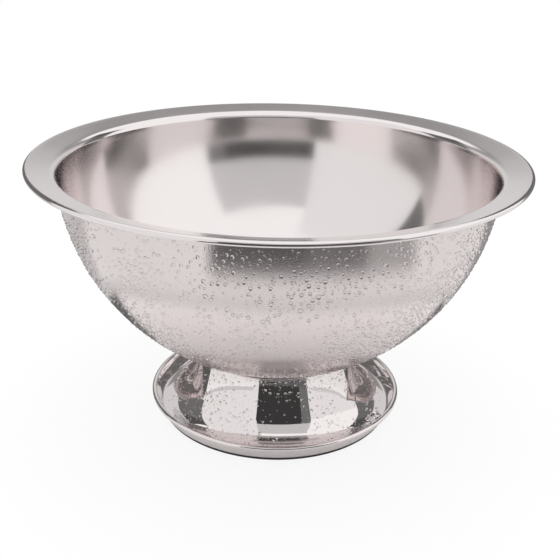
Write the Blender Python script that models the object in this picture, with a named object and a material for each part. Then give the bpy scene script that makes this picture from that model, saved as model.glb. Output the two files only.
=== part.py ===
"""Footed champagne bowl in stainless steel: a spun hemisphere with a flared, beaded rim, on a
trumpet foot whose skirt turns up into a beaded drip tray.

The bowl is spun from one disc and the foot from another.  They are finished apart, satin for the
bowl and mirror for the foot, and then pulled together by a stud welded under the bowl.  Metres,
+Z up, origin on the table under the middle of the foot.
"""
import math

import bmesh
import bpy
from mathutils import Vector

# ---- bowl ----
BOWL_DIAMETER = 0.380          # outside of the hemispherical wall
BOWL_SHEET = 0.0010            # stainless sheet, after spinning
PAD_DIAMETER = 0.060           # flat left at the bottom by the spinning chuck
LIP_DROP = 0.0087              # the wall starts to turn out this far below its widest circle
LIP_RADIUS = 0.0065            # bend from the wall into the rim
RIM_REACH = 0.025              # from the outside of the wall to the outside of the rim
RIM_RISE_ANGLE = 13.0          # degrees, the rim slopes up outwards
RIM_BEAD_DIAMETER = 0.0046     # rolled edge, outside
BEAD_TURN = 290.0              # degrees that each rolled edge turns, which leaves a slit

# ---- foot and drip tray ----
FOOT_SHEET = 0.0010
NECK_DIAMETER = 0.1390         # outside, just under the shoulder
NECK_TILT = 5.5                # degrees off upright there, opening downwards
NECK_STRAIGHT = 0.0005         # part without a bend under the shoulder
SHOULDER_RADIUS = 0.0025       # bend from the neck into the crown
FLARE_UPPER_RADIUS = 0.1165    # the trumpet is three bends, tighter towards the tray
FLARE_UPPER_TURN = 16.5        # degrees
FLARE_MIDDLE_RADIUS = 0.0345
FLARE_MIDDLE_TURN = 30.0       # degrees
FLARE_LOWER_RADIUS = 0.0228
TRAY_FLOOR_WIDTH = 0.0039      # flat ring between the flare and the wall
TRAY_CORNER_RADIUS = 0.0030
TRAY_WALL_ANGLE = 70.0         # degrees from level
TRAY_WALL_LENGTH = 0.0127
TRAY_BEAD_DIAMETER = 0.0044

# ---- fixing ----
FIT_GAP = 0.0003               # between any two pieces that touch
GASKET_THICKNESS = 0.0015
GASKET_WIDTH = 0.0120
GASKET_RECESS = 0.0016         # its edge stands back from the outside of the neck
STUD_DIAMETER = 0.0080
STUD_HEAD_DIAMETER = 0.0360
STUD_HEAD_THICKNESS = 0.0025
STUD_PROJECTION = 0.0030       # thread showing past the nut
STUD_CHAMFER = 0.0008
CROWN_HOLE_MARGIN = 0.0030     # the foot's centre hole clears the stud's head by this much
CLAMP_LAP = 0.0240             # the clamp plate laps the crown by this much
CLAMP_THICKNESS = 0.0030
CLAMP_CENTRE_DIAMETER = 0.0440 # flat middle that the washers bear on
WASHER_DIAMETER = 0.0240
WASHER_THICKNESS = 0.0020
SPRING_WASHER_SECTION = 0.0022 # square wire
SPRING_WASHER_RISE = 0.0007    # one end stands above the other
SPRING_WASHER_SLIT = 12.0      # degrees
NUT_ACROSS_FLATS = 0.0130
NUT_HEIGHT = 0.0065
NUT_CHAMFER_ANGLE = 30.0       # degrees
NUT_CROWN_SHARE = 0.95         # chamfer circle as a share of the distance across flats

# ---- base ring ----
BASE_RING_THICKNESS = 0.0018
BASE_RING_WIDTH = 0.0060
BASE_RING_CHAMFER = 0.0004

# ---- fineness ----
SHEET_STEPS = 48               # round the large pieces, which nest in each other
SMALL_STEPS = 24               # round the fixings
MERGE_DISTANCE = 1e-6

# ---- places that follow from the sizes ----
FLOOR_Z = BASE_RING_THICKNESS + FIT_GAP + FOOT_SHEET / 2          # middle of the tray's sheet
NECK_OUT = math.sin(math.radians(NECK_TILT))                       # the neck's way down, as a
NECK_DOWN = math.cos(math.radians(NECK_TILT))                      # share outwards and downwards
FLARE_LOWER_TURN = 90.0 - NECK_TILT - FLARE_UPPER_TURN - FLARE_MIDDLE_TURN     # to a level floor
FLARE_ARCS = ((FLARE_UPPER_RADIUS, FLARE_UPPER_TURN), (FLARE_MIDDLE_RADIUS, FLARE_MIDDLE_TURN),
              (FLARE_LOWER_RADIUS, FLARE_LOWER_TURN))
FLARE_TILT = [NECK_TILT + sum(turn for _, turn in FLARE_ARCS[:i])
              for i in range(len(FLARE_ARCS) + 1)]
FLARE_HEIGHT = sum(
    radius * (math.sin(math.radians(FLARE_TILT[i + 1])) - math.sin(math.radians(FLARE_TILT[i])))
    for i, (radius, _) in enumerate(FLARE_ARCS))
NECK_R = (NECK_DIAMETER - FOOT_SHEET) / 2                          # middle of the sheet
SHOULDER_R = NECK_R - SHOULDER_RADIUS * NECK_DOWN                  # centre of the shoulder's bend
SHOULDER_Z = FLOOR_Z + FLARE_HEIGHT + NECK_STRAIGHT * NECK_DOWN - SHOULDER_RADIUS * NECK_OUT
BOWL_R = (BOWL_DIAMETER - BOWL_SHEET) / 2                          # middle of the sheet
GASKET_TOP_R = BOWL_DIAMETER / 2 + FIT_GAP
GASKET_UNDER_R = GASKET_TOP_R + GASKET_THICKNESS
CROWN_R = GASKET_UNDER_R + FIT_GAP + FOOT_SHEET / 2                # middle of the sheet
CLAMP_TOP_R = CROWN_R + FOOT_SHEET / 2 + FIT_GAP
BOWL_CENTRE_Z = SHOULDER_Z + math.sqrt((CROWN_R + SHOULDER_RADIUS) ** 2 - SHOULDER_R ** 2)
PAD_Z = BOWL_CENTRE_Z - math.sqrt(BOWL_R ** 2 - (PAD_DIAMETER / 2) ** 2)
STUD_TOP_Z = PAD_Z - BOWL_SHEET / 2 - FIT_GAP
CROWN_HOLE_R = STUD_HEAD_DIAMETER / 2 + CROWN_HOLE_MARGIN
CLAMP_CENTRE_Z = BOWL_CENTRE_Z - math.sqrt(CLAMP_TOP_R ** 2 - (CLAMP_CENTRE_DIAMETER / 2) ** 2)
WASHER_TOP_Z = CLAMP_CENTRE_Z - CLAMP_THICKNESS - FIT_GAP
SPRING_TOP_Z = WASHER_TOP_Z - WASHER_THICKNESS - FIT_GAP
NUT_TOP_Z = SPRING_TOP_Z - SPRING_WASHER_SECTION - SPRING_WASHER_RISE - FIT_GAP
STUD_END_Z = NUT_TOP_Z - NUT_HEIGHT - STUD_PROJECTION
STUD_HOLE_R = STUD_DIAMETER / 2 + FIT_GAP


def clear_scene():
    """Remove every object that the open file holds."""
    for old in list(bpy.data.objects):
        bpy.data.objects.remove(old)


# ---- outlines, as (radius, height) points ----
def walk(start, heading, moves):
    """Follow straight and curved moves from a start point and return the points passed.

    A move is ("line", length) or ("arc", radius, turn, steps).  Headings and turns are in
    degrees, anticlockwise positive, with 0 pointing away from the axis.
    """
    points = [Vector(start)]
    angle = math.radians(heading)
    for kind, size, *bend in moves:
        if kind == "line":
            points.append(points[-1] + size * Vector((math.cos(angle), math.sin(angle))))
            continue
        turn, steps = bend
        step = math.radians(turn) / steps
        chord = 2 * size * math.sin(abs(step) / 2)
        for _ in range(steps):
            middle = angle + step / 2
            points.append(points[-1] + chord * Vector((math.cos(middle), math.sin(middle))))
            angle += step
    return points


def circle_points(radius, centre_z, first_r, last_r, steps):
    """Points on the underside of a circle centred on the axis, between two distances from it."""
    first = math.asin(first_r / radius)
    last = math.asin(last_r / radius)
    angles = [first + (last - first) * i / steps for i in range(steps + 1)]
    return [Vector((radius * math.sin(a), centre_z - radius * math.cos(a))) for a in angles]


def offset(line, distance):
    """Shift a line of points sideways, to its left for a positive distance."""
    moved = []
    for i, point in enumerate(line):
        before = (point - line[i - 1]).normalized() if i > 0 else None
        after = (line[i + 1] - point).normalized() if i < len(line) - 1 else None
        before = before or after
        after = after or before
        mean = (before + after).normalized()
        normal = Vector((-mean.y, mean.x))
        moved.append(point + normal * distance / before.dot(mean))
    return moved


def sheet_outline(middle, thickness):
    """Both faces of a sheet whose middle line is given, from the left face back along the right."""
    left = offset(middle, thickness / 2)
    right = offset(middle, -thickness / 2)
    return left + right[::-1]


def rolled_edge(bead_diameter, sheet, steps):
    """The move that curls a sheet's edge over and down into a bead."""
    return ("arc", (bead_diameter - sheet) / 2, -BEAD_TURN, steps)


# ---- solids ----
def new_object(name, bm, material):
    """Close a bmesh into a named, smooth-shaded object with its material."""
    bmesh.ops.recalc_face_normals(bm, faces=bm.faces)
    mesh = bpy.data.meshes.new(name)
    bm.to_mesh(mesh)
    bm.free()
    mesh.materials.append(material)
    mesh.shade_smooth()
    mesh.set_sharp_from_angle(angle=math.radians(35))
    obj = bpy.data.objects.new(name, mesh)
    bpy.context.collection.objects.link(obj)
    return obj


def turned(name, outline, material, steps=SHEET_STEPS, on_axis=False):
    """Spin an outline once round the Z axis; an outline that ends on the axis stays open there."""
    bm = bmesh.new()
    verts = [bm.verts.new((point.x, 0.0, point.y)) for point in outline]
    edges = [bm.edges.new(pair) for pair in zip(verts, verts[1:])]
    if not on_axis:
        edges.append(bm.edges.new((verts[-1], verts[0])))
    bmesh.ops.spin(bm, geom=verts + edges, cent=(0, 0, 0), axis=(0, 0, 1), angle=math.tau,
                   steps=steps, use_merge=True)
    bmesh.ops.remove_doubles(bm, verts=bm.verts, dist=MERGE_DISTANCE)
    return new_object(name, bm, material)


def skinned(name, sections, material, closed):
    """Skin a row of sections, each a loop of points; an open row gets a flat cap at each end."""
    bm = bmesh.new()
    loops = [[bm.verts.new(point) for point in section] for section in sections]
    following = loops[1:] + loops[:1] if closed else loops[1:]
    for loop, after in zip(loops, following):
        for i in range(len(loop)):
            bm.faces.new((loop[i - 1], loop[i], after[i], after[i - 1]))
    if not closed:
        bm.faces.new(loops[0])
        bm.faces.new(loops[-1])
    return new_object(name, bm, material)


def around(section, angle):
    """Stand a section of (radius, height) points up at an angle round the Z axis."""
    return [(r * math.cos(angle), r * math.sin(angle), z) for r, z in section]


# ---- materials ----
def finish(name, colour, roughness, metallic):
    """A Principled material with one colour, roughness and metallic value."""
    material = bpy.data.materials.new(name)
    material.use_nodes = True
    shader = material.node_tree.nodes["Principled BSDF"]
    shader.inputs["Base Color"].default_value = (*colour, 1.0)
    shader.inputs["Roughness"].default_value = roughness
    shader.inputs["Metallic"].default_value = metallic
    return material


def satin_steel():
    return finish("satin_steel", (0.62, 0.60, 0.59), 0.26, 1.0)


def mirror_steel():
    return finish("mirror_steel", (0.72, 0.71, 0.70), 0.05, 1.0)


def plated_steel():
    return finish("plated_steel", (0.56, 0.56, 0.55), 0.32, 1.0)


def black_rubber():
    return finish("black_rubber", (0.020, 0.020, 0.021), 0.62, 0.0)


# ---- pieces ----
def bowl_middle_line():
    """The bowl's sheet from the axis out: flat pad, hemisphere, lip, rim and rolled edge."""
    wall_top_r = math.sqrt(BOWL_R ** 2 - LIP_DROP ** 2)
    wall = circle_points(BOWL_R, BOWL_CENTRE_Z, PAD_DIAMETER / 2, wall_top_r, 12)
    wall_heading = math.degrees(math.asin(wall_top_r / BOWL_R))
    bead_r = (RIM_BEAD_DIAMETER - BOWL_SHEET) / 2
    slope = math.radians(RIM_RISE_ANGLE)
    lip_reach = LIP_RADIUS * (math.sin(math.radians(wall_heading)) - math.sin(slope))
    bead_reach = bead_r * (1 + math.sin(slope)) + BOWL_SHEET / 2
    land_reach = BOWL_DIAMETER / 2 + RIM_REACH - wall_top_r - lip_reach - bead_reach
    rim = walk(wall[-1], wall_heading, [
        ("arc", LIP_RADIUS, RIM_RISE_ANGLE - wall_heading, 3),
        ("line", land_reach / math.cos(slope)),
        rolled_edge(RIM_BEAD_DIAMETER, BOWL_SHEET, 9),
    ])
    return [Vector((0.0, PAD_Z))] + wall + rim[1:]


def make_bowl(material):
    """One spun shell, open at the top."""
    return turned("bowl", sheet_outline(bowl_middle_line(), BOWL_SHEET), material, on_axis=True)


def pedestal_middle_line():
    """The foot's sheet from its centre hole: crown, shoulder, neck, flare, tray and rolled edge."""
    tangent = SHOULDER_R / (CROWN_R + SHOULDER_RADIUS)
    crown = circle_points(CROWN_R, BOWL_CENTRE_Z, CROWN_HOLE_R, CROWN_R * tangent, 3)
    crown_heading = math.degrees(math.asin(tangent))
    flare = [("arc", radius, turn, 3) for radius, turn in FLARE_ARCS]
    skirt = walk(crown[-1], crown_heading, [
        ("arc", SHOULDER_RADIUS, NECK_TILT - 90 - crown_heading, 4),
        ("line", NECK_STRAIGHT),
        *flare,
        ("line", TRAY_FLOOR_WIDTH),
        ("arc", TRAY_CORNER_RADIUS, TRAY_WALL_ANGLE, 3),
        ("line", TRAY_WALL_LENGTH),
        rolled_edge(TRAY_BEAD_DIAMETER, FOOT_SHEET, 8),
    ])
    return crown + skirt[1:]


def make_pedestal(material):
    """One spun shell, hollow and open underneath."""
    return turned("pedestal", sheet_outline(pedestal_middle_line(), FOOT_SHEET), material)


def make_seat_gasket(material):
    """Flat ring of rubber, dished by the bowl that sits on it."""
    outer_r = NECK_DIAMETER / 2 - GASKET_RECESS
    inner_r = outer_r - GASKET_WIDTH
    top = circle_points(GASKET_TOP_R, BOWL_CENTRE_Z, inner_r, outer_r, 2)
    under = circle_points(GASKET_UNDER_R, BOWL_CENTRE_Z, inner_r, outer_r, 2)
    return turned("seat_gasket", top + under[::-1], material)


def make_weld_stud(material):
    """Threaded stud with a broad head, welded by its head to the pad under the bowl."""
    head_r = STUD_HEAD_DIAMETER / 2
    shank_r = STUD_DIAMETER / 2
    head_z = STUD_TOP_Z - STUD_HEAD_THICKNESS
    outline = [(0.0, STUD_TOP_Z), (head_r, STUD_TOP_Z), (head_r, head_z), (shank_r, head_z),
               (shank_r, STUD_END_Z + STUD_CHAMFER), (shank_r - STUD_CHAMFER, STUD_END_Z),
               (0.0, STUD_END_Z)]
    points = [Vector(point) for point in outline]
    return turned("weld_stud", points, material, SMALL_STEPS, on_axis=True)


def make_clamp_plate(material):
    """Dished disc under the crown that spreads the nut's pull, flat where the washers bear."""
    centre_r = CLAMP_CENTRE_DIAMETER / 2
    dish = circle_points(CLAMP_TOP_R, BOWL_CENTRE_Z, centre_r, CROWN_HOLE_R + CLAMP_LAP, 3)
    top = [Vector((STUD_HOLE_R, CLAMP_CENTRE_Z))] + dish
    drop = Vector((0.0, CLAMP_THICKNESS))
    return turned("clamp_plate", top + [point - drop for point in top[::-1]], material)


def make_flat_washer(material):
    """Plain round washer between the clamp plate and the spring washer."""
    low = WASHER_TOP_Z - WASHER_THICKNESS
    outer_r = WASHER_DIAMETER / 2
    corners = [(STUD_HOLE_R, WASHER_TOP_Z), (outer_r, WASHER_TOP_Z), (outer_r, low),
               (STUD_HOLE_R, low)]
    return turned("flat_washer", [Vector(corner) for corner in corners], material, SMALL_STEPS)


def make_spring_washer(material):
    """Split ring of square wire, its ends a little out of line."""
    sweep = math.radians(360.0 - SPRING_WASHER_SLIT)
    outer_r = STUD_HOLE_R + SPRING_WASHER_SECTION
    low = SPRING_TOP_Z - SPRING_WASHER_SECTION - SPRING_WASHER_RISE
    sections = []
    for i in range(SMALL_STEPS + 1):
        share = i / SMALL_STEPS
        z = low + SPRING_WASHER_RISE * share
        top = z + SPRING_WASHER_SECTION
        square = [(STUD_HOLE_R, z), (outer_r, z), (outer_r, top), (STUD_HOLE_R, top)]
        sections.append(around(square, sweep * share))
    return skinned("spring_washer", sections, material, closed=False)


def nut_section(angle):
    """Outline of the nut at an angle: its six flats, cut back by a cone at each end."""
    half = NUT_ACROSS_FLATS / 2
    sixth = math.tau / 6
    from_flat = (angle % sixth) - sixth / 2
    flat_r = half / math.cos(from_flat)
    crown_r = half * NUT_CROWN_SHARE
    cut = (flat_r - crown_r) * math.tan(math.radians(NUT_CHAMFER_ANGLE))
    low = NUT_TOP_Z - NUT_HEIGHT
    return [(STUD_HOLE_R, low), (crown_r, low), (flat_r, low + cut), (flat_r, NUT_TOP_Z - cut),
            (crown_r, NUT_TOP_Z), (STUD_HOLE_R, NUT_TOP_Z)]


def make_hex_nut(material):
    """Hexagon nut with chamfered corners."""
    angles = [math.tau * i / SMALL_STEPS for i in range(SMALL_STEPS)]
    sections = [around(nut_section(angle), angle) for angle in angles]
    return skinned("hex_nut", sections, material, closed=True)


def make_base_ring(material):
    """Flat anti-slip ring stuck under the tray's floor, its lower edges eased."""
    middle_r = pedestal_floor_middle()
    inner_r = middle_r - BASE_RING_WIDTH / 2
    outer_r = middle_r + BASE_RING_WIDTH / 2
    ease = BASE_RING_CHAMFER
    corners = [(inner_r, BASE_RING_THICKNESS), (outer_r, BASE_RING_THICKNESS), (outer_r, ease),
               (outer_r - ease, 0.0), (inner_r + ease, 0.0), (inner_r, ease)]
    return turned("base_ring", [Vector(corner) for corner in corners], material)


def pedestal_floor_middle():
    """Distance from the axis to the middle of the tray's flat floor."""
    flare_reach = sum(
        radius * (math.cos(math.radians(FLARE_TILT[i])) - math.cos(math.radians(FLARE_TILT[i + 1])))
        for i, (radius, _) in enumerate(FLARE_ARCS))
    return NECK_R + NECK_STRAIGHT * NECK_OUT + flare_reach + TRAY_FLOOR_WIDTH / 2


def build():
    """Make every piece, from the bowl down."""
    clear_scene()
    satin = satin_steel()
    mirror = mirror_steel()
    plated = plated_steel()
    rubber = black_rubber()
    make_bowl(satin)
    make_seat_gasket(rubber)
    make_pedestal(mirror)
    make_weld_stud(plated)
    make_clamp_plate(plated)
    make_flat_washer(plated)
    make_spring_washer(plated)
    make_hex_nut(plated)
    make_base_ring(rubber)


build()
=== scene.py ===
import math
import random

import bpy
from mathutils import Matrix, Vector, noise


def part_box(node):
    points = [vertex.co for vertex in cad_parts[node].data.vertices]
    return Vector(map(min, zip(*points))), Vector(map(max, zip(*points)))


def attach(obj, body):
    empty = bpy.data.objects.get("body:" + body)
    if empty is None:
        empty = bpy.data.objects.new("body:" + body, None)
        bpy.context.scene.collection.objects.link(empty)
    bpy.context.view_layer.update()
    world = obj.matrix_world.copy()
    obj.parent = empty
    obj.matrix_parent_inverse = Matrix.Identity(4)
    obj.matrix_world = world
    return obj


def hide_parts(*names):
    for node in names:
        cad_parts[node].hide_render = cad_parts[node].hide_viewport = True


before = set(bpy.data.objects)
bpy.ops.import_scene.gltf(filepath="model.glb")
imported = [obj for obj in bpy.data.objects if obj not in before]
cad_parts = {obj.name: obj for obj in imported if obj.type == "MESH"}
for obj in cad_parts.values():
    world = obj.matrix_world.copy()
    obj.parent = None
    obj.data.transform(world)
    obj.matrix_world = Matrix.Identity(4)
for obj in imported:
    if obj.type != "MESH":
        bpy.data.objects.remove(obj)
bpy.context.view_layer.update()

# ---- camera ----
# A short telephoto about 0.8 m from the middle of the bowl, looking down on it so that the whole
# mouth shows over the front of the rim.  The camera leans a little, which drops the right side.
LENS = 58.46                    # mm, on a sensor 36 mm wide
CAMERA_TILT = 22.92             # degrees below level
CAMERA_LEAN = 1.177             # degrees
CAMERA_DISTANCE = 0.8316
CAMERA_AIM = Vector((0.0027, 0.0, 0.1228))

lens = bpy.data.cameras.new("camera")
lens.lens = LENS
camera = bpy.data.objects.new("camera", lens)
bpy.context.collection.objects.link(camera)
camera.matrix_world = (
    Matrix.Translation(CAMERA_AIM)
    @ Matrix.Rotation(math.radians(90 - CAMERA_TILT), 4, "X")
    @ Matrix.Rotation(math.radians(CAMERA_LEAN), 4, "Z")
    @ Matrix.Translation((0.0, 0.0, CAMERA_DISTANCE)))
bpy.context.scene.camera = camera
bpy.context.scene.view_settings.view_transform = "Standard"

# ---- table ----
# A white table top.  The picture is cut out on white, so the camera sees it run on for ever and
# mostly plain white, with a soft shadow.  Polished steel sees a round top in the studio instead.
TABLE_REACH = 8.0
TABLE_COLOUR = (0.94, 0.94, 0.94)
TABLE_CUT_OUT = (0.85, 1.0)     # share of plain white that the camera sees, near and far
TABLE_FADE = (0.45, 1.60)       # distances from the middle between which that share grows
TOP_RADIUS = 0.262
TOP_LIFT = 0.0001               # what only the steel sees lies this far above the table


def set_up(material):
    """Give a material its nodes and return its tree and its Principled shader."""
    material.use_nodes = True
    return material.node_tree, material.node_tree.nodes["Principled BSDF"]


def placed(name, corners, faces, finishes):
    """Put a mesh of these corners and faces in the scene and return its object."""
    mesh = bpy.data.meshes.new(name)
    mesh.from_pydata(corners, [], faces)
    for material in finishes:
        mesh.materials.append(material)
    made = bpy.data.objects.new(name, mesh)
    bpy.context.collection.objects.link(made)
    return made


def studio_sheet(name, corners, faces, material, seen_by):
    """A sheet that only the named kinds of ray can see."""
    sheet = placed(name, corners, faces, [material])
    for kind in ("camera", "diffuse", "glossy", "transmission", "shadow"):
        setattr(sheet, "visible_" + kind, kind in seen_by)


def matt(name, colour):
    """A plain matt material; returns it with its tree and shader."""
    material = bpy.data.materials.new(name)
    tree, shader = set_up(material)
    shader.inputs["Base Color"].default_value = (*colour, 1.0)
    shader.inputs["Roughness"].default_value = 0.8
    shader.inputs["Specular IOR Level"].default_value = 0.0
    return material, tree, shader


def on_circle(angle, radius, height):
    """A point round the bowl; angles in degrees from the front, right positive."""
    turned = math.radians(angle)
    return (radius * math.sin(turned), -radius * math.cos(turned), height)


def band(name, first, last, low, high, material, steps=36):
    """A studio sheet that follows a circle round the bowl, from one (radius, height) to another."""
    angles = [first + (last - first) * i / steps for i in range(steps + 1)]
    corners = [on_circle(angle, *edge) for edge in (low, high) for angle in angles]
    faces = [(i, i + 1, i + steps + 2, i + steps + 1) for i in range(steps)]
    studio_sheet(name, corners, faces, material, ("glossy", "transmission"))


def own_place(tree):
    """Texture coordinates that stay with the piece, in metres."""
    return tree.nodes.new("ShaderNodeTexCoord").outputs["Object"]


def sum_up(tree, operation, a, b=0.0):
    """A Math node on two sockets or numbers, returned as its output."""
    made = tree.nodes.new("ShaderNodeMath")
    made.operation = operation
    for socket, value in zip(made.inputs, (a, b)):
        if hasattr(value, "is_output"):
            tree.links.new(value, socket)
        else:
            socket.default_value = value
    return made.outputs["Value"]


def stretched(tree, value, before, after):
    """A number brought from one pair of ends to another, and held at the ends beyond them."""
    made = tree.nodes.new("ShaderNodeMapRange")
    made.inputs["From Min"].default_value, made.inputs["From Max"].default_value = before
    made.inputs["To Min"].default_value, made.inputs["To Max"].default_value = after
    tree.links.new(value, made.inputs["Value"])
    return made.outputs["Result"]


laminate, tree, shader = matt("white_laminate", TABLE_COLOUR)
white = tree.nodes.new("ShaderNodeEmission")
ray = tree.nodes.new("ShaderNodeLightPath")
away = tree.nodes.new("ShaderNodeVectorMath")
away.operation = "LENGTH"
tree.links.new(own_place(tree), away.inputs[0])
share = stretched(tree, away.outputs["Value"], TABLE_FADE, TABLE_CUT_OUT)
cut_out = tree.nodes.new("ShaderNodeMixShader")
tree.links.new(sum_up(tree, "MULTIPLY", ray.outputs["Is Camera Ray"], share), cut_out.inputs["Fac"])
tree.links.new(shader.outputs["BSDF"], cut_out.inputs[1])
tree.links.new(white.outputs["Emission"], cut_out.inputs[2])
tree.links.new(cut_out.outputs["Shader"], tree.nodes["Material Output"].inputs["Surface"])
studio_sheet("table", [
    (-TABLE_REACH, -TABLE_REACH, 0.0), (TABLE_REACH, -TABLE_REACH, 0.0),
    (TABLE_REACH, TABLE_REACH, 0.0), (-TABLE_REACH, TABLE_REACH, 0.0)],
    [(0, 1, 2, 3)], laminate, ("camera", "diffuse", "shadow"))

band("round_top", 0.0, 360.0, (0.0, TOP_LIFT), (TOP_RADIUS, TOP_LIFT),
     matt("round_top", TABLE_COLOUR)[0], steps=72)

# ---- studio ----
# A white room with one large softbox above.  Bright panels, dark cloths and a dark gap at the front
# stand round the table, grey bands lie on the floor and small cards stand near the foot.  All of
# these are seen only in the steel and through the water.
GAP_LEFT = -22.0                # ends of the dark gap, in degrees from the front, right positive
GAP_RIGHT = 47.0
PATCH_LEFT = -28.0              # ends of the dark floor before it
PATCH_RIGHT = 62.0
FLOOR_BANDS = (                 # first and last angle, inner and outer radius, grey
    ("floor_edge", 0.0, 360.0, TOP_RADIUS, 0.300, 0.64),
    ("floor_front", -101.0, 119.0, 0.300, 0.410, 0.85),
    ("floor_left", -101.0, PATCH_LEFT, 0.410, 1.20, 0.85),
    ("floor_right", PATCH_RIGHT, 119.0, 0.410, 1.20, 0.85),
    ("floor_dark", PATCH_LEFT, 12.0, 0.410, 1.20, 0.10),
    ("floor_dark_2", 12.0, 38.0, 0.410, 1.20, 0.16),
    ("floor_dark_3", 38.0, PATCH_RIGHT, 0.410, 1.20, 0.38),
    ("floor_shade_left", -150.0, -93.0, 0.150, TOP_RADIUS, 0.10),
    ("floor_shade_right", 103.0, 150.0, 0.150, TOP_RADIUS, 0.10),
    ("floor_side_left", -156.0, -101.0, 0.300, 1.20, 0.60),
    ("floor_side_right", 119.0, 145.0, 0.300, 1.20, 0.30),
    ("floor_corner_left", -168.0, -156.0, 0.300, 1.20, 0.12),
    ("floor_corner_right", 145.0, 168.0, 0.300, 1.20, 0.12),
    ("floor_back", 168.0, 192.0, 0.300, 1.20, 0.36),
)
STANDING_BANDS = (              # first and last angle, lowest and highest point, distance, grey
    ("near_card", -18.0, 27.5, 0.0254, 0.0460, 0.16, 0.045),
    ("near_card_side", 27.5, 36.9, 0.0254, 0.0460, 0.16, 0.17),
    ("near_card_foot", -18.0, 36.9, 0.0190, 0.0254, 0.16, 0.13),
    ("near_card_left", -24.0, -18.0, 0.0254, 0.0460, 0.16, 0.85),
    ("near_card_right", 36.9, 52.0, 0.0254, 0.0460, 0.16, 0.85),
    ("dark_gap", GAP_LEFT, 35.0, 0.0, 0.56, 1.20, 0.045),
    ("dark_gap_side", 35.0, GAP_RIGHT, 0.0, 0.56, 1.20, 0.17),
    ("dark_gap_top", GAP_LEFT, GAP_RIGHT, 0.56, 1.43, 1.20, 0.60),
    ("panel_left", -101.0, GAP_LEFT, 0.0, 2.4, 1.20, 0.85),
    ("panel_right", GAP_RIGHT, 119.0, 0.0, 0.30, 1.20, 0.85),
    ("panel_right_top", GAP_RIGHT, 119.0, 0.30, 2.4, 1.20, 1.0),
    ("cloth_left", -168.0, -101.0, 0.0, 0.84, 1.20, 0.16),
    ("cloth_left_top", -143.0, -101.0, 0.84, 1.20, 1.20, 0.09),
    ("cloth_right", 119.0, 168.0, 0.0, 0.84, 1.20, 0.16),
    ("cloth_right_top", 119.0, 151.0, 0.84, 1.20, 1.20, 0.09),
    ("panel_back_low", 168.0, 192.0, 0.0, 0.21, 0.62, 0.46),
    ("panel_back", 147.0, 220.0, 0.21, 0.40, 0.62, 0.70),
    ("panel_back_2", 147.0, 220.0, 0.40, 0.45, 0.62, 0.56),
    ("panel_back_3", 147.0, 220.0, 0.45, 0.50, 0.62, 0.42),
    ("panel_back_4", 147.0, 220.0, 0.50, 0.62, 0.62, 0.32),
)
TOP_LIGHT = ((0.0, 0.35, 1.60), 2.40, 2.30, 1.00)      # middle, width, depth, strength
ROOM_LIGHT = 0.92


def glowing(name, strength):
    """A material that only gives off an even grey or white."""
    material = bpy.data.materials.new(name)
    tree, shader = set_up(material)
    shader.inputs["Base Color"].default_value = (0.0, 0.0, 0.0, 1.0)
    shader.inputs["Specular IOR Level"].default_value = 0.0
    shader.inputs["Emission Color"].default_value = (1.0, 1.0, 1.0, 1.0)
    shader.inputs["Emission Strength"].default_value = strength
    return material


for name, first, last, inner, outer, grey in FLOOR_BANDS:
    band(name, first, last, (inner, 2 * TOP_LIFT), (outer, 2 * TOP_LIFT), glowing(name, grey))
for name, first, last, low, high, distance, grey in STANDING_BANDS:
    band(name, first, last, (distance, low), (distance, high), glowing(name, grey))

place, width, depth, strength = TOP_LIGHT
lamp = bpy.data.lights.new("softbox_above", "AREA")
lamp.shape = "RECTANGLE"
lamp.size = width
lamp.size_y = depth
lamp.energy = strength * math.pi * width * depth
softbox = bpy.data.objects.new("softbox_above", lamp)
softbox.location = place
softbox.visible_camera = False
softbox.visible_glossy = False
bpy.context.collection.objects.link(softbox)

world = bpy.data.worlds.new("studio")
world.use_nodes = True
bpy.context.scene.world = world
tree = world.node_tree
room = tree.nodes["Background"]
room.inputs["Color"].default_value = (ROOM_LIGHT, ROOM_LIGHT, ROOM_LIGHT, 1.0)
backdrop = tree.nodes.new("ShaderNodeBackground")
backdrop.inputs["Color"].default_value = (1.0, 1.0, 1.0, 1.0)
ray = tree.nodes.new("ShaderNodeLightPath")
behind = room.outputs["Background"]
for kind in ("Is Camera Ray", "Is Glossy Ray", "Is Transmission Ray"):
    choose = tree.nodes.new("ShaderNodeMixShader")
    tree.links.new(ray.outputs[kind], choose.inputs["Fac"])
    tree.links.new(behind, choose.inputs[1])
    tree.links.new(backdrop.outputs["Background"], choose.inputs[2])
    behind = choose.outputs["Shader"]
tree.links.new(behind, tree.nodes["World Output"].inputs["Surface"])

# ---- bowl ----
# One disc of stainless steel, spun over a round-bottomed chuck that leaves a small flat pad.  The
# mouth is turned out into a wide rim and its edge is rolled over into an open curl.  The outside of
# the wall has a satin finish that runs round the bowl; the inside and the rim are polished.
BOWL_DIAMETER = 0.380           # outside
BOWL_SHEET = 0.0010
PAD_DIAMETER = 0.060
LIP_DROP = 0.0087               # the wall ends this far below the middle of its sphere
LIP_RADIUS = 0.0065             # bend from the wall into the rim
RIM_REACH = 0.025               # how far the rim stands out beyond the wall
RIM_RISE_ANGLE = 13.0           # degrees
RIM_ROLL_DIAMETER = 0.0046      # outside of the rolled edge
ROLL_TURN = 290.0               # degrees that a rolled edge turns
ROUND_STEPS = 240
WALL_STEPS = 72
LIP_STEPS = 12
LAND_STEPS = 4                  # the straight part of the rim
ROLL_STEPS = 28
SATIN_COLOUR = (0.82, 0.750, 0.744)
SATIN_ROUGHNESS = 0.17
SATIN_RINGS = (1400.0, 3.0)     # how fast the rings change across the sheet, and round it
POLISHED_COLOUR = (0.88, 0.83, 0.825)
POLISHED_RINGS = (700.0, 1.2)
RING_SLANT = 0.9                # share of the radius that counts with the height, for flat sheet
FOG_CELLS = 1300.0              # how many of the smallest beads lie side by side in a metre


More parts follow.
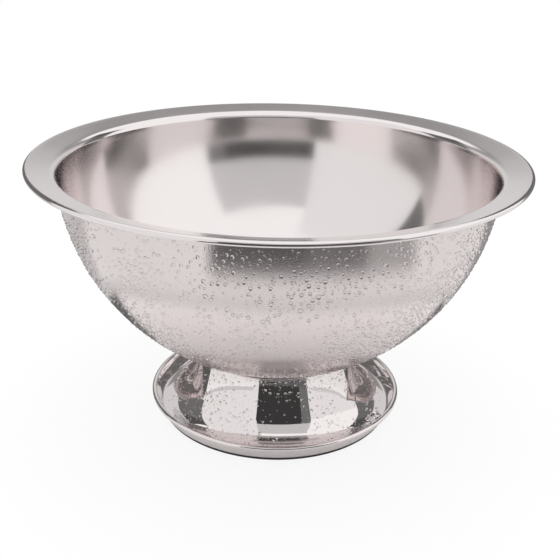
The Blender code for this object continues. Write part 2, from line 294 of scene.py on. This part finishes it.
def walk(start, heading, moves):
    """Follow straight and curved moves from a start point and return the points passed.

    A move is ("line", length, steps) or ("arc", radius, turn, steps).  Headings and turns are in
    degrees, anticlockwise positive, with 0 pointing away from the axis.
    """
    points = [Vector(start)]
    angle = math.radians(heading)
    for kind, size, *bend, steps in moves:
        if kind == "line":
            step = size / steps * Vector((math.cos(angle), math.sin(angle)))
            points += [points[-1] + step * i for i in range(1, steps + 1)]
            continue
        step = math.radians(bend[0]) / steps
        chord = 2 * size * math.sin(abs(step) / 2)
        for _ in range(steps):
            middle = angle + step / 2
            points.append(points[-1] + chord * Vector((math.cos(middle), math.sin(middle))))
            angle += step
    return points


def under_circle(radius, centre_z, first_r, last_r, steps):
    """Points on the underside of a circle centred on the axis, between two distances from it."""
    first = math.asin(first_r / radius)
    last = math.asin(last_r / radius)
    angles = [first + (last - first) * i / steps for i in range(steps + 1)]
    return [Vector((radius * math.sin(a), centre_z - radius * math.cos(a))) for a in angles]


def face_of_sheet(middle, distance):
    """One face of a sheet, from its middle line: to the left for a positive distance."""
    face = []
    for i, point in enumerate(middle):
        before = (point - middle[i - 1]).normalized() if i > 0 else None
        after = (middle[i + 1] - point).normalized() if i < len(middle) - 1 else None
        before = before or after
        after = after or before
        mean = (before + after).normalized()
        face.append(point + Vector((-mean.y, mean.x)) * distance / before.dot(mean))
    return face


def smoothed(piece, sharpest):
    """Shade a piece smooth, apart from edges that turn by more than this many degrees."""
    piece.data.shade_smooth()
    piece.data.set_sharp_from_angle(angle=math.radians(sharpest))
    return piece


def spun(name, outline, finishes, finish_of=None, closed=True, steps=ROUND_STEPS):
    """Turn an outline of (radius, height) points round the axis.

    An open outline starts and ends on the axis.  finish_of tells, for the stretch that starts at
    each point of the outline, which of the finishes it gets; without it, all get the first.
    """
    on_axis = [abs(point.x) < 1e-6 for point in outline]
    corners = []
    first = []
    for point, pole in zip(outline, on_axis):
        first.append(len(corners))
        turns = 1 if pole else steps
        for j in range(turns):
            angle = math.tau * j / steps
            corners.append((point.x * math.cos(angle), point.x * math.sin(angle), point.y))
    faces = []
    finish_index = []
    stretches = len(outline) if closed else len(outline) - 1
    for i in range(stretches):
        k = (i + 1) % len(outline)
        for j in range(steps):
            after = (j + 1) % steps
            here = (first[i], ) if on_axis[i] else (first[i] + after, first[i] + j)
            there = (first[k], ) if on_axis[k] else (first[k] + j, first[k] + after)
            faces.append(here + there)
            finish_index.append(finish_of(i) if finish_of else 0)
    piece = placed(name, corners, faces, finishes)
    piece.data.polygons.foreach_set("material_index", finish_index)
    return smoothed(piece, sharpest=40)


def round_the_axis(tree, across, along):
    """Texture coordinates that change fast across a spun sheet and slowly round it."""
    parts = tree.nodes.new("ShaderNodeSeparateXYZ")
    tree.links.new(own_place(tree), parts.inputs["Vector"])
    x, y, z = parts.outputs
    reach = sum_up(tree, "SQRT", sum_up(tree, "ADD", sum_up(tree, "MULTIPLY", x, x),
                                        sum_up(tree, "MULTIPLY", y, y)))
    ring = tree.nodes.new("ShaderNodeCombineXYZ")
    for value, socket in ((x, ring.inputs["X"]), (y, ring.inputs["Y"])):
        share = sum_up(tree, "DIVIDE", value, sum_up(tree, "MAXIMUM", reach, 0.001))
        tree.links.new(sum_up(tree, "MULTIPLY", share, along), socket)
    slant = sum_up(tree, "SUBTRACT", z, sum_up(tree, "MULTIPLY", reach, RING_SLANT))
    tree.links.new(sum_up(tree, "MULTIPLY", slant, across), ring.inputs["Z"])
    return ring.outputs["Vector"]


def cloud(tree, place, scale, detail):
    """Smooth noise over texture coordinates, as one number."""
    made = tree.nodes.new("ShaderNodeTexNoise")
    made.inputs["Scale"].default_value = scale
    made.inputs["Detail"].default_value = detail
    tree.links.new(place, made.inputs["Vector"])
    return made.outputs["Fac"]


def raised(tree, height, strength, distance):
    """A Bump node that a height goes into."""
    made = tree.nodes.new("ShaderNodeBump")
    made.inputs["Strength"].default_value = strength
    made.inputs["Distance"].default_value = distance
    tree.links.new(height, made.inputs["Height"])
    return made


def polished_steel(name, roughness, lines):
    """Bright steel with the faint rings that the polishing wheel leaves on spun work."""
    material = bpy.data.materials.new(name)
    tree, shader = set_up(material)
    shader.inputs["Base Color"].default_value = (*POLISHED_COLOUR, 1.0)
    shader.inputs["Metallic"].default_value = 1.0
    wiped = cloud(tree, own_place(tree), 9.0, 3.0)
    gloss = stretched(tree, wiped, (0.35, 0.70), (roughness * 0.8, roughness * 1.4))
    tree.links.new(gloss, shader.inputs["Roughness"])
    rings = cloud(tree, round_the_axis(tree, *POLISHED_RINGS), 1.0, 3.0)
    bump = raised(tree, rings, lines, 0.0001)
    tree.links.new(bump.outputs["Normal"], shader.inputs["Normal"])
    return material


def satin_steel():
    """Steel rubbed round with a fine pad, fogged by the cold with beads too small to see."""
    material = bpy.data.materials.new("satin_steel")
    tree, shader = set_up(material)
    shader.inputs["Metallic"].default_value = 1.0
    shader.inputs["Base Color"].default_value = (*SATIN_COLOUR, 1.0)
    shader.inputs["Roughness"].default_value = SATIN_ROUGHNESS
    shader.inputs["Anisotropic"].default_value = 0.85
    shader.inputs["Anisotropic Rotation"].default_value = 0.25
    tangent = tree.nodes.new("ShaderNodeTangent")
    tangent.direction_type = "RADIAL"
    tangent.axis = "Z"
    tree.links.new(tangent.outputs["Tangent"], shader.inputs["Tangent"])
    rings = cloud(tree, round_the_axis(tree, *SATIN_RINGS), 1.0, 4.0)
    rubbed = raised(tree, rings, 0.05, 0.0001)
    fog = tree.nodes.new("ShaderNodeTexVoronoi")
    fog.inputs["Scale"].default_value = FOG_CELLS
    tree.links.new(own_place(tree), fog.inputs["Vector"])
    fogged = raised(tree, fog.outputs["Distance"], 0.09, 0.0003)
    fogged.invert = True
    tree.links.new(rubbed.outputs["Normal"], fogged.inputs["Normal"])
    tree.links.new(fogged.outputs["Normal"], shader.inputs["Normal"])
    return material


def fit(piece, node):
    """Hang a piece on the object in place of the solid of the same part."""
    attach(piece, "root")
    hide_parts(node)


BOWL_R = (BOWL_DIAMETER - BOWL_SHEET) / 2
PAD_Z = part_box("bowl")[0].z + BOWL_SHEET / 2
BOWL_CENTRE_Z = PAD_Z + math.sqrt(BOWL_R ** 2 - (PAD_DIAMETER / 2) ** 2)
WALL_TOP_R = math.sqrt(BOWL_R ** 2 - LIP_DROP ** 2)

wall_heading = math.degrees(math.asin(WALL_TOP_R / BOWL_R))
slope = math.radians(RIM_RISE_ANGLE)
rim_roll_r = (RIM_ROLL_DIAMETER - BOWL_SHEET) / 2
lip_reach = LIP_RADIUS * (math.sin(math.radians(wall_heading)) - math.sin(slope))
roll_reach = rim_roll_r * (1 + math.sin(slope)) + BOWL_SHEET / 2
land_reach = BOWL_DIAMETER / 2 + RIM_REACH - WALL_TOP_R - lip_reach - roll_reach
wall = under_circle(BOWL_R, BOWL_CENTRE_Z, PAD_DIAMETER / 2, WALL_TOP_R, WALL_STEPS)
rim = walk(wall[-1], wall_heading, [
    ("arc", LIP_RADIUS, RIM_RISE_ANGLE - wall_heading, LIP_STEPS),
    ("line", land_reach / math.cos(slope), LAND_STEPS),
    ("arc", rim_roll_r, -ROLL_TURN, ROLL_STEPS)])
bowl_middle = [Vector((0.0, PAD_Z)), Vector((PAD_DIAMETER / 4, PAD_Z))] + wall + rim[1:]
bowl_inside = face_of_sheet(bowl_middle, BOWL_SHEET / 2)
bowl_outside = face_of_sheet(bowl_middle, -BOWL_SHEET / 2)
satin_top = len(bowl_middle) - len(rim) + 1             # the satin ends one step up the lip
satin_start = 2 * len(bowl_middle) - 1 - satin_top

bowl = spun("bowl_shell", bowl_inside + bowl_outside[::-1],
            [polished_steel("polished_inside", roughness=0.13, lines=0.10), satin_steel()],
            lambda i: 1 if i >= satin_start else 0, closed=False)
fit(bowl, "bowl")

# ---- foot and drip tray ----
# A second disc of the same steel, spun into a trumpet whose skirt runs out flat and turns up into
# a shallow tray with a rolled edge.  It is mirror polished outside and left as spun underneath.
FOOT_SHEET = 0.0010
NECK_DIAMETER = 0.1390          # outside, just under the shoulder
NECK_TILT = 5.5                 # degrees off upright there, opening downwards
NECK_STRAIGHT = 0.0005
SHOULDER_RADIUS = 0.0025        # bend from the crown, under the bowl, into the neck
FLARE_UPPER_RADIUS = 0.1165     # the trumpet is three bends, tighter towards the tray
FLARE_UPPER_TURN = 16.5
FLARE_MIDDLE_RADIUS = 0.0345
FLARE_MIDDLE_TURN = 30.0
FLARE_LOWER_RADIUS = 0.0228
FLARE_LOWER_TURN = 90.0 - NECK_TILT - FLARE_UPPER_TURN - FLARE_MIDDLE_TURN
TRAY_FLOOR_WIDTH = 0.0039
TRAY_CORNER_RADIUS = 0.0030
TRAY_WALL_ANGLE = 70.0
TRAY_WALL_LENGTH = 0.0127
TRAY_ROLL_DIAMETER = 0.0044
FIT_GAP = 0.0003                # between pieces that touch
GASKET_THICKNESS = 0.0015
CROWN_HOLE_R = 0.0210
CROWN_STEPS = 12
SHOULDER_STEPS = 14
NECK_STEPS = 1
FLARE_STEPS = (22, 20, 24)
FLOOR_STEPS = 2
CORNER_STEPS = 12
TRAY_WALL_STEPS = 2
AS_SPUN_COLOUR = (0.50, 0.50, 0.49)
AS_SPUN_RINGS = (900.0, 1.5)

CROWN_R = BOWL_DIAMETER / 2 + GASKET_THICKNESS + 2 * FIT_GAP + FOOT_SHEET / 2
NECK_R = (NECK_DIAMETER - FOOT_SHEET) / 2
SHOULDER_R = NECK_R - SHOULDER_RADIUS * math.cos(math.radians(NECK_TILT))
crown_share = SHOULDER_R / (CROWN_R + SHOULDER_RADIUS)
crown = under_circle(CROWN_R, BOWL_CENTRE_Z, CROWN_HOLE_R, CROWN_R * crown_share, CROWN_STEPS)
crown_heading = math.degrees(math.asin(crown_share))
skirt = walk(crown[-1], crown_heading, [
    ("arc", SHOULDER_RADIUS, NECK_TILT - 90 - crown_heading, SHOULDER_STEPS),
    ("line", NECK_STRAIGHT, NECK_STEPS),
    ("arc", FLARE_UPPER_RADIUS, FLARE_UPPER_TURN, FLARE_STEPS[0]),
    ("arc", FLARE_MIDDLE_RADIUS, FLARE_MIDDLE_TURN, FLARE_STEPS[1]),
    ("arc", FLARE_LOWER_RADIUS, FLARE_LOWER_TURN, FLARE_STEPS[2]),
    ("line", TRAY_FLOOR_WIDTH, FLOOR_STEPS),
    ("arc", TRAY_CORNER_RADIUS, TRAY_WALL_ANGLE, CORNER_STEPS),
    ("line", TRAY_WALL_LENGTH, TRAY_WALL_STEPS),
    ("arc", (TRAY_ROLL_DIAMETER - FOOT_SHEET) / 2, -ROLL_TURN, ROLL_STEPS)])
foot_middle = crown + skirt[1:]
foot_outside = face_of_sheet(foot_middle, FOOT_SHEET / 2)
foot_inside = face_of_sheet(foot_middle, -FOOT_SHEET / 2)


def as_spun_steel():
    """Dull steel with the close rings that the spinning tool leaves."""
    material = bpy.data.materials.new("as_spun_steel")
    tree, shader = set_up(material)
    shader.inputs["Base Color"].default_value = (*AS_SPUN_COLOUR, 1.0)
    shader.inputs["Metallic"].default_value = 1.0
    shader.inputs["Roughness"].default_value = 0.36
    rings = cloud(tree, round_the_axis(tree, *AS_SPUN_RINGS), 1.0, 4.0)
    bump = raised(tree, rings, 0.5, 0.0002)
    tree.links.new(bump.outputs["Normal"], shader.inputs["Normal"])
    return material


foot_points = len(foot_middle)
tray_steps = FLOOR_STEPS + CORNER_STEPS + TRAY_WALL_STEPS + ROLL_STEPS
foot = spun("foot_and_tray", foot_outside + foot_inside[::-1],
            [polished_steel("mirror_steel", roughness=0.035, lines=0.05), as_spun_steel()],
            lambda i: 1 if foot_points + tray_steps <= i < 2 * foot_points - 1 else 0)
fit(foot, "pedestal")

# ---- seat ring ----
# A flat ring of black rubber between the bowl and the crown of the foot, dished by the bowl that
# sits on it.  It keeps the two sheets from rubbing, and keeps the water out of the foot.
SEAT_RING_WIDTH = 0.0120
SEAT_RING_RECESS = 0.0016       # its edge stands back from the outside of the neck
SEAT_RING_STEPS = 10
RUBBER_DARK = (0.016, 0.016, 0.017)
RUBBER_LIGHT = (0.034, 0.034, 0.033)
EDGE_EASE = 0.0003              # reach of the rounding at the corners of small pieces


def mottled(name, dark, light, metallic, roughness, patches, grain, depth):
    """A finish whose colour and gloss drift in patches, over a fine grain of a given depth."""
    material = bpy.data.materials.new(name)
    tree, shader = set_up(material)
    shader.inputs["Metallic"].default_value = metallic
    patchy = cloud(tree, own_place(tree), patches, 4.0)
    colours = tree.nodes.new("ShaderNodeValToRGB")
    colours.color_ramp.elements[0].position = 0.35
    colours.color_ramp.elements[0].color = (*dark, 1.0)
    colours.color_ramp.elements[1].position = 0.68
    colours.color_ramp.elements[1].color = (*light, 1.0)
    tree.links.new(patchy, colours.inputs["Fac"])
    tree.links.new(colours.outputs["Color"], shader.inputs["Base Color"])
    gloss = stretched(tree, patchy, (0.0, 1.0), (roughness * 0.8, roughness * 1.25))
    tree.links.new(gloss, shader.inputs["Roughness"])
    bump = raised(tree, cloud(tree, own_place(tree), grain, 2.0), 0.5, depth)
    tree.links.new(bump.outputs["Normal"], shader.inputs["Normal"])
    return material


def eased(outline, reach, steps=4):
    """A closed outline with its corners rounded, each from this far before it to as far after.

    Where the outline turns by less than 37 degrees it stays as it is.
    """
    rounded = []
    for i, corner in enumerate(outline):
        before = (outline[i - 1] - corner).normalized()
        after = (outline[(i + 1) % len(outline)] - corner).normalized()
        if before.dot(after) < -0.8:
            rounded.append(corner)
            continue
        for k in range(steps + 1):
            start = (corner + before * reach).lerp(corner, k / steps)
            rounded.append(start.lerp(corner.lerp(corner + after * reach, k / steps), k / steps))
    return rounded


rubber = mottled("black_rubber", RUBBER_DARK, RUBBER_LIGHT, metallic=0.0, roughness=0.62,
                 patches=70.0, grain=2600.0, depth=0.00008)
seat_outer_r = NECK_DIAMETER / 2 - SEAT_RING_RECESS
seat_faces = [
    under_circle(BOWL_DIAMETER / 2 + drop, BOWL_CENTRE_Z, seat_outer_r - SEAT_RING_WIDTH,
                 seat_outer_r, SEAT_RING_STEPS)
    for drop in (FIT_GAP, FIT_GAP + GASKET_THICKNESS)]
seat_ring = spun("rubber_seat_ring", eased(seat_faces[0] + seat_faces[1][::-1], EDGE_EASE),
                 [rubber])
fit(seat_ring, "seat_gasket")

# ---- clamp plate and washers ----
# A dished disc of plated steel under the crown of the foot spreads the pull of the nut.  A plain
# washer and a split spring washer lie between them, threaded on the stud.
CLAMP_THICKNESS = 0.0030
CLAMP_STEPS = 16
STUD_HOLE_R = 0.0043
WASHER_STEPS = 96
PLATING_DARK = (0.40, 0.41, 0.42)
PLATING_LIGHT = (0.60, 0.60, 0.58)
SPLIT_SWEEP = 348.0             # degrees of the split washer's ring
SPLIT_WIRE = 0.0022             # square
SPLIT_STEPS = 72


def skinned(name, loops, material, closed):
    """Skin a row of loops of points; an open row gets a flat cap at each end."""
    count = len(loops[0])
    corners = [point for loop in loops for point in loop]
    faces = []
    for i in range(len(loops) if closed else len(loops) - 1):
        here = i * count
        there = (i + 1) % len(loops) * count
        for j in range(count):
            k = (j + 1) % count
            faces.append((here + k, here + j, there + j, there + k))
    if not closed:
        faces += [tuple(range(count)), tuple(range(len(corners) - count, len(corners)))[::-1]]
    return smoothed(placed(name, corners, faces, [material]), sharpest=30)


def turned_to(section, angle):
    """Stand a section of (radius, height) points up at an angle round the axis."""
    return [Vector((point.x * math.cos(angle), point.x * math.sin(angle), point.y))
            for point in section]


def four_corners(inner, outer, first_z, then_z):
    """A square-cut section: out along one height and back along the other."""
    return [Vector((inner, first_z)), Vector((outer, first_z)),
            Vector((outer, then_z)), Vector((inner, then_z))]


plating = mottled("plated_steel", PLATING_DARK, PLATING_LIGHT, metallic=1.0, roughness=0.32,
                  patches=240.0, grain=1900.0, depth=0.00004)
clamp_low, clamp_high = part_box("clamp_plate")
clamp_top_r = CROWN_R + FOOT_SHEET / 2 + FIT_GAP
bearing_z = clamp_low.z + CLAMP_THICKNESS
bearing_r = math.sqrt(clamp_top_r ** 2 - (BOWL_CENTRE_Z - bearing_z) ** 2)
clamp_top = [Vector((STUD_HOLE_R, bearing_z))]
clamp_top += under_circle(clamp_top_r, BOWL_CENTRE_Z, bearing_r, clamp_high.x, CLAMP_STEPS)
clamp_under = [point - Vector((0.0, CLAMP_THICKNESS)) for point in clamp_top[::-1]]
clamp = spun("clamp_disc", eased(clamp_top + clamp_under, EDGE_EASE), [plating])
fit(clamp, "clamp_plate")

washer_low, washer_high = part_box("flat_washer")
washer_corners = four_corners(STUD_HOLE_R, washer_high.x, washer_high.z, washer_low.z)
washer = spun("plain_washer", eased(washer_corners, EDGE_EASE), [plating], steps=WASHER_STEPS)
fit(washer, "flat_washer")

split_low, split_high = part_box("spring_washer")
split_rise = split_high.z - split_low.z - SPLIT_WIRE
split_loops = []
for i in range(SPLIT_STEPS + 1):
    low = split_low.z + split_rise * i / SPLIT_STEPS
    square = four_corners(STUD_HOLE_R, STUD_HOLE_R + SPLIT_WIRE, low, low + SPLIT_WIRE)
    split_loops.append(turned_to(eased(square, EDGE_EASE),
                                 math.radians(SPLIT_SWEEP) * i / SPLIT_STEPS))
split_washer = skinned("split_washer", split_loops, plating, closed=False)
fit(split_washer, "spring_washer")

# ---- stud and nut ----
# A stud with a broad head is welded under the bowl's flat pad.  Its thread comes down through the
# clamp plate, and one hexagon nut on it, turned from below, pulls bowl and foot together.
THREAD_PITCH = 0.00125
THREAD_DEPTH = 0.00055
THREAD_FINENESS = 8             # rows of points in each turn of the thread
THREAD_END = 0.0008             # chamfer at the tip
STUD_SIDES = 48
STUD_RADIUS = 0.0040
STUD_FILLET = 0.0003            # between the shank and the head
HEAD_RADIUS = 0.0180
HEAD_THICKNESS = 0.0025
HEAD_EASE = 0.0004              # how far its edges are broken
NUT_SIDES = 96                  # a multiple of six, so that the corners stay sharp
NUT_FLATS = 0.0130
NUT_CROWN_SHARE = 0.95          # chamfer circle as a share of the distance across the flats
NUT_CHAMFER = 30.0              # degrees


def stud_row(radius_of, height):
    """One level row of points round the stud."""
    turns = [math.tau * j / STUD_SIDES for j in range(STUD_SIDES)]
    return [Vector((radius_of(a) * math.cos(a), radius_of(a) * math.sin(a), height))
            for a in turns]


def thread_at(height):
    """How far the thread stands from the axis at a height, for each angle."""
    def radius_of(angle):
        phase = (height / THREAD_PITCH - angle / math.tau) % 1.0
        return STUD_RADIUS - THREAD_DEPTH * (1 - abs(2 * phase - 1))
    return radius_of


stud_low, stud_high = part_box("weld_stud")
head_z = stud_high.z - HEAD_THICKNESS
shank = head_z - stud_low.z - THREAD_END
rows = [(HEAD_RADIUS - HEAD_EASE, stud_high.z), (HEAD_RADIUS, stud_high.z - HEAD_EASE),
        (HEAD_RADIUS, head_z + HEAD_EASE), (HEAD_RADIUS - HEAD_EASE, head_z),
        (STUD_RADIUS + STUD_FILLET, head_z), (STUD_RADIUS, head_z - STUD_FILLET)]
stud_loops = [stud_row(lambda angle, r=radius: r, height) for radius, height in rows]
row_count = int(shank / THREAD_PITCH * THREAD_FINENESS)
for i in range(1, row_count + 1):
    height = head_z - STUD_FILLET - (shank - STUD_FILLET) * i / row_count
    stud_loops.append(stud_row(thread_at(height), height))
stud_loops.append(stud_row(lambda angle: STUD_RADIUS - THREAD_END, stud_low.z))
stud = skinned("threaded_stud", stud_loops, plating, closed=False)
fit(stud, "weld_stud")

nut_low, nut_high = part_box("hex_nut")
crown_r = NUT_FLATS / 2 * NUT_CROWN_SHARE
nut_loops = []
for i in range(NUT_SIDES):
    angle = math.tau * i / NUT_SIDES
    flat_r = NUT_FLATS / 2 / math.cos(angle % (math.tau / 6) - math.tau / 12)
    cut = (flat_r - crown_r) * math.tan(math.radians(NUT_CHAMFER))
    nut_loops.append(turned_to([Vector(corner) for corner in (
        (STUD_HOLE_R, nut_low.z), (crown_r, nut_low.z), (flat_r, nut_low.z + cut),
        (flat_r, nut_high.z - cut), (crown_r, nut_high.z), (STUD_HOLE_R, nut_high.z))], angle))
nut = skinned("hexagon_nut", nut_loops, plating, closed=True)
fit(nut, "hex_nut")

# ---- base ring ----
# A flat ring of the same rubber stuck under the tray's floor, its edges eased by the mould, so
# that the bowl neither slides nor marks the table.
BASE_RING_WIDTH = 0.0060
BASE_RING_EASE = 0.0004

ring_low, ring_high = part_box("base_ring")
ring_corners = four_corners(ring_high.x - BASE_RING_WIDTH, ring_high.x, ring_high.z, ring_low.z)
base_ring = spun("rubber_base_ring", eased(ring_corners, BASE_RING_EASE), [rubber])
fit(base_ring, "base_ring")

# ---- water on the steel ----
# The cold steel gathers the damp of the room on it in beads.  They start as a fine mist, join into
# rounder beads that hang heavy on their downhill side, and a few have run down into the tray and
# lie there as drops.
BEAD_SEED = 11
BEAD_PATCHES = 22.0             # how fast the beads change from thick to thin over the steel
BEAD_CHANCE = (-0.60, 0.40)     # thickness that a place has to beat, drawn anew for each bead
BEAD_LEAN = 0.22                # how much thicker they lie towards the right, away from the draught
BEAD_EDGE = (0.12, 0.30)        # larger ones thin out where the steel turns edge on to the front
BEAD_SIZE_BIAS = 1.6            # over 1, so that small ones outnumber large ones
BEAD_HEIGHT = (0.75, 1.0)       # as a share of the radius
BEAD_SAG = (0.10, 0.30)         # how far a full-grown bead hangs downhill, as a share of its radius
BEAD_SINK = 0.0001              # the foot of each bead lies this far under the face of the steel
BEAD_CLEARANCE = 1.15           # smallest gap between bead centres, as a share of their radii
BEAD_CELL = 0.0055              # side of the cells that speed up the search for neighbours
BOWL_SPAN = (0.07, 0.90)        # cosine of the angle up from the bottom, at the lip and at the crown
FOOT_BIAS = 1.7                 # over 1, so that they gather at the neck and leave the tray free
MIST = (8600, 0.00040, 0.00085) # how many on the bowl, smallest and largest radius
BEADS = (2600, 0.0010, 0.0017)
LARGE_BEADS = (240, 0.0017, 0.0022)
FOOT_MIST = (1300, 0.0004, 0.0007)
FOOT_BEADS = (420, 0.0008, 0.0015)
BEAD_SIDES_RINGS = (12, 3)      # corners round a bead and rings up it
MIST_SIDES_RINGS = (5, 2)
DROP_SIDES_RINGS = (32, 10)
RUN_DROPS = (                   # angle and distance from the axis on the tray, radius, height
    (69.0, 0.1012, 0.0048, 0.0028), (61.0, 0.0990, 0.0027, 0.0017), (57.5, 0.1015, 0.0021, 0.0014),
    (66.0, 0.0955, 0.0017, 0.0012), (31.0, 0.1030, 0.0016, 0.0011), (-38.0, 0.1035, 0.0019, 0.0012),
    (-64.0, 0.1010, 0.0015, 0.0010), (-118.0, 0.1020, 0.0024, 0.0015), (152.0, 0.1015, 0.0030, 0.0018),
)


def clear_water():
    """Water, with the slight unevenness that dust and the steel's grain give its skin."""
    material = bpy.data.materials.new("clear_water")
    tree, shader = set_up(material)
    shader.inputs["Base Color"].default_value = (1.0, 1.0, 1.0, 1.0)
    shader.inputs["Transmission Weight"].default_value = 1.0
    shader.inputs["IOR"].default_value = 1.33
    shader.inputs["Roughness"].default_value = 0.0
    bump = raised(tree, cloud(tree, own_place(tree), 900.0, 1.0), 0.05, 0.0001)
    tree.links.new(bump.outputs["Normal"], shader.inputs["Normal"])
    return material


def bowl_seat(angle, rise):
    """A place on the outside of the bowl: point, normal and downhill; rise is from the bottom."""
    a = math.radians(angle)
    r = math.radians(rise)
    outward = Vector((math.sin(a), -math.cos(a), 0.0))
    normal = outward * math.sin(r) - Vector((0.0, 0.0, math.cos(r)))
    downhill = -outward * math.cos(r) - Vector((0.0, 0.0, math.sin(r)))
    return Vector((0.0, 0.0, BOWL_CENTRE_Z)) + normal * BOWL_DIAMETER / 2, normal, downhill


def outline_seat(outline, angle, share):
    """A place on a spun face: share runs from the first to the last point of its outline."""
    place = share * (len(outline) - 1)
    i = min(int(place), len(outline) - 2)
    along = (outline[i + 1] - outline[i]).normalized()
    at = outline[i].lerp(outline[i + 1], place - i)
    a = math.radians(angle)
    outward = Vector((math.sin(a), -math.cos(a), 0.0))
    upward = Vector((0.0, 0.0, 1.0))
    downhill = outward * along.x + upward * along.y
    normal = -outward * along.y + upward * along.x
    return outward * at.x + upward * at.y, normal, downhill


def tray_seat(angle, reach):
    """A place on the outside of the foot that is a given distance from the axis."""
    for i in range(flare_first, len(foot_outside) - 1):
        if foot_outside[i].x <= reach < foot_outside[i + 1].x:
            part = (reach - foot_outside[i].x) / (foot_outside[i + 1].x - foot_outside[i].x)
            return outline_seat(foot_outside, angle, (i + part) / (len(foot_outside) - 1))


def add_bead(corners, faces, seat, radius, height, sag, sides, rings):
    """Add one closed drop: a dome on the steel that leans towards its downhill side."""
    point, normal, downhill = seat
    across = normal.cross(downhill)
    first = len(corners)
    for ring in range(rings):
        lift = math.pi / 2 * ring / rings
        reach = radius * math.cos(lift)
        up = height * math.sin(lift) if ring else -BEAD_SINK
        lean = sag * radius * math.sin(lift)
        for side in range(sides):
            turn = math.tau * side / sides
            corners.append(point + downhill * (reach * math.cos(turn) + lean)
                           + across * (reach * math.sin(turn)) + normal * up)
    corners.append(point + downhill * sag * radius + normal * height)
    faces.append(tuple(first + side for side in range(sides))[::-1])
    for ring in range(rings - 1):
        low = first + ring * sides
        for side in range(sides):
            after = (side + 1) % sides
            faces.append((low + side, low + after, low + sides + after, low + sides + side))
    top = first + (rings - 1) * sides
    faces += [(top + side, top + (side + 1) % sides, first + rings * sides) for side in range(sides)]


def water_piece(name, corners, faces, material):
    """One piece of many drops; it rides on the object and stands for no solid."""
    piece = smoothed(placed(name, corners, faces, [material]), sharpest=75)
    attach(piece, "root")


def scatter(draw, cells, count, smallest, largest, seat_of):
    """Draw seats until count of them stand clear of the ones in cells; each is (seat, radius)."""
    made = []
    while len(made) < count:
        radius = smallest + (largest - smallest) * draw.random() ** BEAD_SIZE_BIAS
        seat = seat_of(draw)
        key = [round(part / BEAD_CELL) for part in seat[0]]
        near = [other for i in (-1, 0, 1) for j in (-1, 0, 1) for k in (-1, 0, 1)
                for other in cells.get((key[0] + i, key[1] + j, key[2] + k), ())]
        clear = all((seat[0] - place).length > BEAD_CLEARANCE * (radius + size)
                    for place, size in near)
        sight = (camera.matrix_world.translation - seat[0]).normalized()
        if largest > MIST[2] and abs(seat[1].dot(sight)) < draw.uniform(*BEAD_EDGE):
            continue
        thick = noise.noise(seat[0] * BEAD_PATCHES) + BEAD_LEAN * seat[1].x
        if clear and thick > draw.uniform(*BEAD_CHANCE):
            made.append((seat, radius))
            cells.setdefault(tuple(key), []).append((seat[0], radius))
    return made


def on_bowl(draw):
    """A random seat on the outside of the bowl, even over its face."""
    return bowl_seat(draw.uniform(-180.0, 180.0), math.degrees(math.acos(draw.uniform(*BOWL_SPAN))))


def on_foot(draw):
    """A random seat on the neck and flare, thick at the top and thin towards the tray."""
    share = flare_start + (flare_end - flare_start) * draw.random() ** FOOT_BIAS
    return outline_seat(foot_outside, draw.uniform(-180.0, 180.0), share)


flare_first = CROWN_STEPS + SHOULDER_STEPS
flare_start = flare_first / (len(foot_outside) - 1)
flare_end = (flare_first + NECK_STEPS + sum(FLARE_STEPS)) / (len(foot_outside) - 1)
draw = random.Random(BEAD_SEED)
water_material = clear_water()
for place, seat_of, classes in (
        ("bowl", on_bowl, (("large_beads", LARGE_BEADS), ("beads", BEADS), ("mist", MIST))),
        ("foot", on_foot, (("beads", FOOT_BEADS), ("mist", FOOT_MIST)))):
    cells = {}
    for kind, (count, smallest, largest) in classes:
        sides, rings = MIST_SIDES_RINGS if kind == "mist" else BEAD_SIDES_RINGS
        corners = []
        faces = []
        for seat, radius in scatter(draw, cells, count, smallest, largest, seat_of):
            sag = draw.uniform(*BEAD_SAG) * min(1.0, radius / BEADS[2])
            height = radius * draw.uniform(*BEAD_HEIGHT)
            add_bead(corners, faces, seat, radius, height, sag, sides, rings)
        water_piece(kind + "_on_" + place, corners, faces, water_material)
corners = []
faces = []
for angle, reach, radius, height in RUN_DROPS:
    add_bead(corners, faces, tray_seat(angle, reach), radius, height, 0.0, *DROP_SIDES_RINGS)
water_piece("drops_in_tray", corners, faces, water_material)
